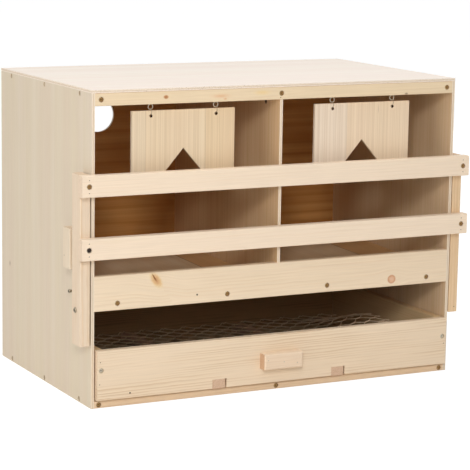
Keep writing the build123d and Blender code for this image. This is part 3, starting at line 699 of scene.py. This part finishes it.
def with_recess(screw, cutter, top, wide, deep):
    """Cuts the drive into a screw's head and marks the recess, which its finish darkens with painted shade
    and dirt.
    """
    cutter.location.z = top
    cut = screw.modifiers.new("cut", "BOOLEAN")
    cut.object = cutter
    cut.solver = "EXACT"
    cut.use_self = True
    graph = bpy.context.evaluated_depsgraph_get()
    mesh = bpy.data.meshes.new_from_object(screw.evaluated_get(graph), depsgraph=graph)
    screw.modifiers.clear()
    screw.data = mesh
    bpy.data.objects.remove(cutter)
    mesh.shade_smooth()
    mesh.set_sharp_from_angle(angle=math.radians(35))
    recess = mesh.attributes.new("recess", "FLOAT", "POINT")
    for entry, vert in zip(recess.data, mesh.vertices):
        across = math.hypot(vert.co.x, vert.co.y)
        entry.value = float(top - 1.1 * deep < vert.co.z < top - 0.2 * deep and across < 0.51 * wide)
    return screw


def wood_screw():
    """A countersunk screw whose head lies below the board's face, with a cut cross."""
    head, shank, long = 2.8 * MM, 1.4 * MM, 33 * MM
    profile = [(0, -SUNK), (head - 0.2 * MM, -SUNK), (head, -SUNK - 0.15 * MM), (head, -SUNK - 0.3 * MM),
               (shank, -SUNK - 1.9 * MM), (shank, 3 * MM - long), (0, -long)]
    wide, deep = 3.9 * MM, 1.5 * MM
    return with_recess(lathe("wood_screw", profile), cross_cutter(wide, 0.95 * MM, deep), -SUNK, wide, deep)


def button_head(name, radius, tall, long):
    """A machine screw with a low rounded head and a hexagonal socket."""
    shank = 2 * MM
    profile = [(0, tall), (0.62 * radius, tall), (0.8 * radius, 0.84 * tall), (0.93 * radius, 0.55 * tall),
               (radius, 0.2 * tall), (radius, 0), (shank, 0), (shank, 0.5 * MM - long), (shank - 0.5 * MM, -long),
               (0, -long)]
    wide, deep = 1.15 * radius, 0.75 * tall
    return with_recess(lathe(name, profile, 32), hexagon_cutter(wide, deep), tall, wide, deep)


def countersink(bottom):
    """The crushed rim that a driven screw leaves in soft pine: a thin closed lining, given its bottom's half profile."""
    rim, wall = [(4.0, 0.03), (3.6, 0.05), (3.15, -0.75)], [(3.3, -0.8), (3.75, -0.1), (4.0, 0.03)]
    made = lathe("countersink", [(r * MM, z * MM) for r, z in rim + bottom + wall])
    bruise = made.data.attributes.new("bruise", "FLOAT", "POINT")
    for entry, vert in zip(bruise.data, made.data.vertices):
        entry.value = float(vert.co.z > -0.05 * MM)
    return made


def keep(piece, body, slot, *nodes):
    """Puts a finished piece on its body and in place of the plain nodes."""
    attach(piece, body)
    if nodes:
        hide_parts(*nodes)


def head_range(node, axis):
    """The first and the last head's middle along an axis, for a node that holds rows of plain screws."""
    low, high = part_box(node)
    return low[axis] + CAD_HEAD, high[axis] - CAD_HEAD


def front_heads(node, across, up):
    """Places for screws in a front face, for each place across and each place up."""
    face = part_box(node)[0][Y]
    return [((x, face, z), "front") for x in across for z in up]


def side_heads(node, behind, up):
    """Places for screws in the left and the right face, for each place along Y and each place up."""
    low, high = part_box(node)
    return [((face[X], y, z), way) for y in behind for z in up for face, way in ((low, "left"), (high, "right"))]


def on_face(places):
    """The places brought out from the plain screws' heads to the face that they are sunk in."""
    return [(Vector(point) + CAD_SUNK * OUTWARD[way], way) for point, way in places]


# Wood screws in place of the plain ones. The plain heads are 3.5 mm in radius and lie 0.8 mm below the face.

CAD_HEAD = 3.5 * MM
CAD_SUNK = 0.8 * MM
SUNK = 1.3 * MM
DRAWER_FRONT_SCREW_Z = 56 * MM

screw = wood_screw()
open_rim = countersink([(2.6, -1.3), (2.6, -1.4)])
deep_hole = countersink([(2.6, -1.05), (0, -1.1), (0, -1.25), (2.9, -1.2)])
# Pine crushed by the brassy screws: a bruised rim, and brown painted shade down in the hole
crushed = crushed_pine("crushed_pine_countersinks_painted_shade", ("#46301C", "#7C5834"), ("#846644", "#BC9A70"))
# A hole painted almost black as the shade inside it, where a screw went too deep
deep_hole_shade = crushed_pine("deep_hole_painted_shade", ("#140C06", "#2A1C10"), ("#6A4E32", "#A88660"))
# Pine that the bright screws bruised less: a pale rim, and paler painted shade down in the hole
pale_crushed = crushed_pine("pale_crushed_countersinks_painted_shade", ("#8C7A62", "#B09C80"), ("#BBA688", "#DCCBB0"))


def drive(name, places, finish, body, node):
    """Screws on their places, each in its crushed rim on the board's face."""
    faces = on_face(places)
    bruised = crushed if finish == yellow_zinc else pale_crushed
    keep(set_out(name, screw, faces, finish), body, "zinc_steel", node)
    keep(set_out(name.replace("screws", "countersinks"), open_rim, faces, bruised), body, "pine")


for name, node in (("header_wood_screws", "header_screws"), ("floor_rail_wood_screws", "floor_rail_screws")):
    left, right = head_range(node, X)
    drive(name, front_heads(node, (left, 0, right), [middle_of(node, Z)]), yellow_zinc, "carcass", node)

bearers = ("left_outer_bearer", "left_inner_bearer", "right_inner_bearer", "right_outer_bearer")
sill_places = front_heads("sill_screws", [middle_of(b, X) for b in bearers], [middle_of("sill_screws", Z)])
drive("sill_wood_screws", sill_places, yellow_zinc, "carcass", "sill_screws")

front, rear = head_range("side_screws", Y)
side_places = side_heads("side_screws", (front, 0, rear), head_range("side_screws", Z))
drive("side_wood_screws", side_places, bright_zinc, "carcass", "side_screws")

rack_node = "perch_rail_screws"
rack_places = front_heads(rack_node, head_range(rack_node, X), head_range(rack_node, Z))
drive("rack_wood_screws", rack_places, yellow_zinc, "perch_rack", rack_node)
# The lower rail's left screw was driven so deep that only its hole shows, painted dark as shade
keep(set_out("deep_rack_screw_hole", deep_hole, on_face(rack_places[:1]), deep_hole_shade), "perch_rack", "pine")

drawer_sides = [middle_of(node, X) for node in ("drawer_left_side", "drawer_right_side")]
drawer_places = front_heads("drawer_screws", drawer_sides, [DRAWER_FRONT_SCREW_Z])
drawer_places += side_heads("drawer_screws", [middle_of("drawer_back", Y)], head_range("drawer_screws", Z))
drive("drawer_wood_screws", drawer_places, bright_zinc, "drawer", "drawer_screws")
for prototype in (screw, open_rim, deep_hole):
    bpy.data.objects.remove(prototype)


# Machine screws on the perch's arms and behind them: radius and height of the head, its length below the head, and
# how far the head's seat lies inside the plain one's top

MACHINE_SCREWS = [
    ("pivot_machine_screw", "pivot_bolts", 3.8 * MM, 2.1 * MM, 24 * MM, 2.5 * MM),
    ("stop_machine_screw", "stop_screws", 3 * MM, 1.7 * MM, 10.5 * MM, 1.7 * MM),
]
for name, node, radius, tall, long, seat in MACHINE_SCREWS:
    low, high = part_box(node)
    y, z = middle_of(node, Y), middle_of(node, Z)
    prototype = button_head(name, radius, tall, long)
    places = [((low[X] + seat, y, z), "left"), ((high[X] - seat, y, z), "right")]
    keep(set_out(name + "s", prototype, places, dull_zinc), "carcass", "zinc_steel", node)
    bpy.data.objects.remove(prototype)


# Small brads beside the screws, and two nails punched in

BRAD_STEP = 9 * MM
REST_BRAD = (-116 * MM, 211 * MM)
# Steel brads gone dull, dark as pencil dots on the wood
dark_steel = zinc("dulled_steel_brads", "#4E4032", 0.6)


def brad(radius):
    """A small headed nail driven flush."""
    shank, proud = 0.4 * MM, 0.05 * MM
    return lathe("brad", [(0, proud), (radius - 0.1 * MM, proud), (radius, -0.2 * MM), (shank, -0.5 * MM),
                          (shank, -4 * MM), (0, -5 * MM)], sides=12)


small_brad = brad(0.75 * MM)
nail = brad(1.4 * MM)
rack_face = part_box("perch_upper_rail")[0][Y]
rack_brads = [
    ((x, rack_face, z + step), way) for (x, y, z), way in rack_places for step in (-BRAD_STEP, BRAD_STEP)
]
rack_brads.append((on_front("perch_right_arm", 306.7, 98.8), "front"))
carcass_brads = [
    (on_front(HEADER, -1.5, 430.5), "front"),
    ((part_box("left_rest_block")[0][X], *REST_BRAD), "left"),
    ((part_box("right_rest_block")[1][X], *REST_BRAD), "right"),
]
drawer_brads = [(on_front("drawer_front", x, z), "front") for x, z in ((-284, 68), (-285, 36), (285, 45))]
sill_nail = [(on_front(SILL, -131, 151.6), "front")]
drawer_nail = [(on_front("drawer_front", -238.5, 19.7), "front")]

keep(set_out("rack_brads", small_brad, rack_brads, dark_steel), "perch_rack", "zinc_steel")
keep(set_out("carcass_brads", small_brad, carcass_brads, dark_steel), "carcass", "zinc_steel")
keep(set_out("punched_sill_nail", nail, sill_nail, dark_steel), "carcass", "zinc_steel")
keep(set_out("drawer_brads", small_brad, drawer_brads, dark_steel), "drawer", "zinc_steel")
# The punched nail, painted almost black as the shade in its hole
keep(set_out("punched_drawer_nail", nail, drawer_nail, deep_hole_shade), "drawer", "zinc_steel")
for prototype in (small_brad, nail):
    bpy.data.objects.remove(prototype)


# Screw eyes and links in round wire

# The plain eyes' and links' sizes, which give the places. A link's wire is a hexagon, 0.52 mm from its axis to a side.
CAD_EYE_RADIUS = 4.1 * MM
CAD_EYE_WIRE = 0.65 * MM
CAD_LINK_WIRE = 0.6 * MM
CAD_LINK_SIDE = 0.52 * MM

EYE_RADIUS = 3.6 * MM
EYE_WIRE = 0.65 * MM
EYE_OPENS = math.radians(60)
EYE_CLOSES = math.radians(-270)
STEM_LONG = 9
LINK_WIRE = 0.38 * MM
LINK_GROWTH = 0.1 * MM
ARC_STEPS = 28
WIRE_SIDES = 10


def arc(centre, radius, sideways, start, end):
    """Points on an arc about a centre, in the plane of Z and a sideways direction."""
    points = []
    for k in range(ARC_STEPS + 1):
        angle = start + (end - start) * k / ARC_STEPS
        step = radius * math.cos(angle) * Vector(sideways) + Vector((0, 0, radius * math.sin(angle)))
        points.append(Vector(centre) + step)
    return points


def wires(name, runs, radius, sides, material):
    """Round wires along open or closed runs of points."""
    verts, edges = [], []
    for run in runs:
        closed = (Vector(run[0]) - Vector(run[-1])).length < 1e-6
        kept = run[:-1] if closed else run
        first = len(verts)
        verts += [tuple(p) for p in kept]
        edges += [(first + k, first + k + 1) for k in range(len(kept) - 1)]
        if closed:
            edges.append((first + len(kept) - 1, first))
    mesh = bpy.data.meshes.new(name + "_runs")
    mesh.from_pydata(verts, edges, [])
    return grown(name, mesh, WIRES, {"Wire Radius": radius, "Sides": sides, "Finish": material})


flap_y = middle_of("screw_eyes", Y)
eye_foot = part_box("screw_eyes")[0][Z] + CAD_EYE_WIRE
eye_z = eye_foot + EYE_RADIUS
stem_z = eye_foot + 2 * CAD_EYE_RADIUS
eye_runs = []
link_runs = {"left": [], "right": []}
for side, runs in link_runs.items():
    low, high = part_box(f"{side}_flap_links")
    link_radius = (high[Z] - low[Z]) / 2 - CAD_LINK_WIRE + LINK_GROWTH
    link_z = (low[Z] + high[Z]) / 2 + LINK_GROWTH
    for x in (low[X] + CAD_LINK_SIDE, high[X] - CAD_LINK_SIDE):
        loop = arc((x, flap_y, eye_z), EYE_RADIUS, (1, 0, 0), EYE_OPENS, EYE_CLOSES)
        stem = [Vector((x, flap_y, stem_z + STEM_LONG * step / 3 * MM)) for step in range(4)]
        eye_runs.append(loop + stem)
        runs.append(arc((x, flap_y, link_z), link_radius, (0, 1, 0), 0, math.tau))
keep(wires("screw_eye_wires", eye_runs, EYE_WIRE, WIRE_SIDES, ring_zinc), "carcass", "zinc_steel", "screw_eyes")
for side, runs in link_runs.items():
    links = wires(f"{side}_link_wires", runs, LINK_WIRE, WIRE_SIDES, shaded_link_zinc)
    keep(links, f"{side}_flap", "zinc_steel", f"{side}_flap_links")


# Wire netting. Its mesh and its wire are drawn coarser than real ones, so that they show from the camera's distance.

NET_PITCH = 28 * MM
NET_ROW = 18 * MM
NET_TWIST = 8 * MM
NET_WIRE = 0.85 * MM
NET_SIDES = 5
TWIST_STEPS = 5
HALF_TURNS = 3
NET_WAVE = 1.1 * MM

# The front right corner, which stands up: where it starts and ends along X, how tall it is, and how it grows to the
# front
CURL_START = 150 * MM
CURL_END = 275 * MM
CURL_TALL = 28 * MM
CURL_REAR = 120 * MM
CURL_LONG = 130 * MM


def laid(x, y, z):
    """Bends the flat net: a soft wave all over, and its front right corner sprung up as it came off the roll."""
    wave = NET_WAVE * math.sin(x * 37 + y * 11) * math.sin(y * 29 - x * 7)
    z += max(wave, 0)
    forward = min(max((CURL_REAR - y) / CURL_LONG, 0), 1)
    past = max((x - CURL_START) / (CURL_END - CURL_START), 0)
    z += CURL_TALL * forward * forward * (3 - 2 * forward) * math.sin(0.62 * math.pi * past) ** 1.5
    return (x, y, z)


def net_strand(middle_y, lean, first_x, rows, base_z):
    """One wire of the net, which twists with the wire behind it and the wire before it in turn."""
    run = []
    for row in range(rows + 1):
        odd = row % 2
        y = middle_y + odd * lean * NET_PITCH / 2
        # Two neighbours start a twist on opposite sides of it
        phase = math.pi if (lean > 0) == (odd == 0) else 0
        for step in range(TWIST_STEPS + 1):
            share = step / TWIST_STEPS
            angle = phase + math.pi * HALF_TURNS * share
            x = first_x + row * NET_ROW + (share - 0.5) * NET_TWIST
            run.append(laid(x, y + NET_WIRE * math.cos(angle), base_z + NET_WIRE * math.sin(angle)))
    return run


def netting():
    """Hexagonal netting: every wire runs left to right and twists with its front and rear neighbour in turn."""
    low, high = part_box("drawer_mesh")
    rows = int((high[X] - low[X]) / NET_ROW)
    strands = int((high[Y] - low[Y] - NET_PITCH) / NET_PITCH / 2)
    base_z = low[Z] + 2 * NET_WIRE
    first_x = middle_of("drawer_mesh", X) - rows * NET_ROW / 2
    middle_y = middle_of("drawer_mesh", Y)
    runs = [
        net_strand(middle_y + strand * NET_PITCH, lean, first_x, rows, base_z)
        for strand in range(-strands, strands + 1) for lean in (-1, 1)
    ]
    return wires("hexagonal_wire_netting", runs, NET_WIRE, NET_SIDES, net_wire)


keep(netting(), "drawer", "galvanised_wire", "drawer_mesh")


# Floor, light and camera

FLOOR_HALF = 30
# How far inside the box's sides and ends the painted shadow on the floor under it starts
SHADE_INSET_X = 25 * MM
SHADE_INSET_Y = 8 * MM


def seen_directly(tree):
    """1 for what the camera sees, straight or in a metal, and 0 for light on the box."""
    path = add(tree, "ShaderNodeLightPath").outputs
    either = add(tree, "ShaderNodeMath", {0: path["Is Camera Ray"], 1: path["Is Glossy Ray"]}, operation="MAXIMUM")
    return either.outputs[0]


def floor():
    """A pale floor that keeps the box's soft shadow and meets the white background without an edge. Under the box it
    is painted dark brown as the box's shadow, so that no white shows up through the drawer's netting."""
    mesh = bpy.data.meshes.new("floor")
    corners = [(-1, -1), (1, -1), (1, 1), (-1, 1)]
    mesh.from_pydata([(x * FLOOR_HALF, y * FLOOR_HALF, 0) for x, y in corners], [], [(0, 1, 2, 3)])
    made = bpy.data.objects.new("floor", mesh)
    bpy.context.scene.collection.objects.link(made)
    material, tree = blank("pale_floor_with_painted_shadow")
    place = add(tree, "ShaderNodeTexCoord").outputs["Object"]
    across = add(tree, "ShaderNodeVectorMath", {0: place}, operation="ABSOLUTE").outputs[0]
    apart = add(tree, "ShaderNodeSeparateXYZ", {0: across}).outputs
    side, end = cad_box[1][X] - SHADE_INSET_X, cad_box[1][Y] - SHADE_INSET_Y
    past_side = add(tree, "ShaderNodeMath", {0: apart[X], 1: side}, operation="GREATER_THAN").outputs[0]
    past_end = add(tree, "ShaderNodeMath", {0: apart[Y], 1: end}, operation="GREATER_THAN").outputs[0]
    outside_painted_shadow = add(tree, "ShaderNodeMath", {0: past_side, 1: past_end}, operation="MAXIMUM").outputs[0]
    white = add(tree, "ShaderNodeMath", {0: seen_directly(tree), 1: outside_painted_shadow}, operation="MULTIPLY").outputs[0]
    shaded = add(tree, "ShaderNodeBsdfDiffuse", {"Color": colour("#8C8C8C")})
    glow = add(tree, "ShaderNodeEmission", {"Color": (1, 1, 1, 1), "Strength": 0.92})
    background = add(tree, "ShaderNodeAddShader", {0: shaded.outputs[0], 1: glow.outputs[0]})
    # Painted shadow: dark brown under the box, pale past its sides and ends
    tone = mixed(tree, outside_painted_shadow, colour("#2C2014"), colour("#F4F2EF"))
    matte = add(tree, "ShaderNodeBsdfDiffuse", {"Color": tone})
    both = add(tree, "ShaderNodeMixShader", {0: white, 1: matte.outputs[0], 2: background.outputs[0]})
    add(tree, "ShaderNodeOutputMaterial", {"Surface": both.outputs[0]})
    mesh.materials.append(material)


def studio_world():
    """An even pale surround, pure white to the camera."""
    world = bpy.data.worlds.new("studio")
    bpy.context.scene.world = world
    world.use_nodes = True
    tree = world.node_tree
    tree.nodes.clear()
    fill = add(tree, "ShaderNodeBackground", {"Color": colour("#FFFDFB"), "Strength": 0.32})
    white = add(tree, "ShaderNodeBackground", {"Color": (1, 1, 1, 1), "Strength": 1})
    both = add(tree, "ShaderNodeMixShader", {0: seen_directly(tree), 1: fill.outputs[0], 2: white.outputs[0]})
    add(tree, "ShaderNodeOutputWorld", {"Surface": both.outputs[0]})


def soft_box(name, place, aim, size, power):
    """A square lamp that looks at a point."""
    lamp = bpy.data.lights.new(name, "AREA")
    lamp.size = size
    lamp.energy = power
    made = bpy.data.objects.new(name, lamp)
    made.location = place
    made.rotation_euler = (Vector(aim) - Vector(place)).to_track_quat("-Z", "Y").to_euler()
    bpy.context.scene.collection.objects.link(made)


def backward(turn, tilt):
    """The unit vector back towards a camera that is turned and tilted so."""
    return Vector((math.sin(turn) * math.cos(tilt), -math.cos(turn) * math.cos(tilt), math.sin(tilt)))


def photo_camera():
    """The photograph's camera: its place, its small roll and its lens."""
    back = backward(CAMERA_YAW, CAMERA_PITCH)
    level = (-back).cross(Vector((0, 0, 1))).normalized()
    upright = level.cross(-back)
    right = level * math.cos(CAMERA_ROLL) + upright * math.sin(CAMERA_ROLL)
    up = upright * math.cos(CAMERA_ROLL) - level * math.sin(CAMERA_ROLL)
    lens = bpy.data.cameras.new("photo_camera")
    lens.sensor_width = SENSOR
    lens.lens = FOCAL_PIXELS / PHOTO_SIDE * SENSOR
    camera = bpy.data.objects.new("photo_camera", lens)
    bpy.context.scene.collection.objects.link(camera)
    place = BOX_MIDDLE + backward(CAMERA_AZIMUTH, CAMERA_ELEVATION) * CAMERA_DISTANCE
    camera.matrix_world = Matrix.Translation(place) @ Matrix((right, up, back)).transposed().to_4x4()
    bpy.context.scene.camera = camera


# Each lamp's place, the point it looks at, its side in metres and its watts. The small front lamp shines in under the
# sill onto the netting.
LAMPS = [
    ("key", (-1.36, -2.41, 1.45), (0, 0, 0.2), 0.45, 27),
    ("front", (-0.973, -2.673, 1.002), (0, 0, 0.05), 0.3, 5),
    ("left", (-2.5, -0.6, 0.9), (0, 0, 0.2), 2.0, 16),
    ("top", (-0.2, -0.3, 2.6), (0, 0, 0.3), 2.0, 28),
    ("rear", (2.2, 2.2, 0.6), (0, 0, 0.2), 2.0, 9),
]

floor()
studio_world()
for lamp in LAMPS:
    soft_box(*lamp)
photo_camera()
bpy.context.scene.view_settings.view_transform = "Standard"
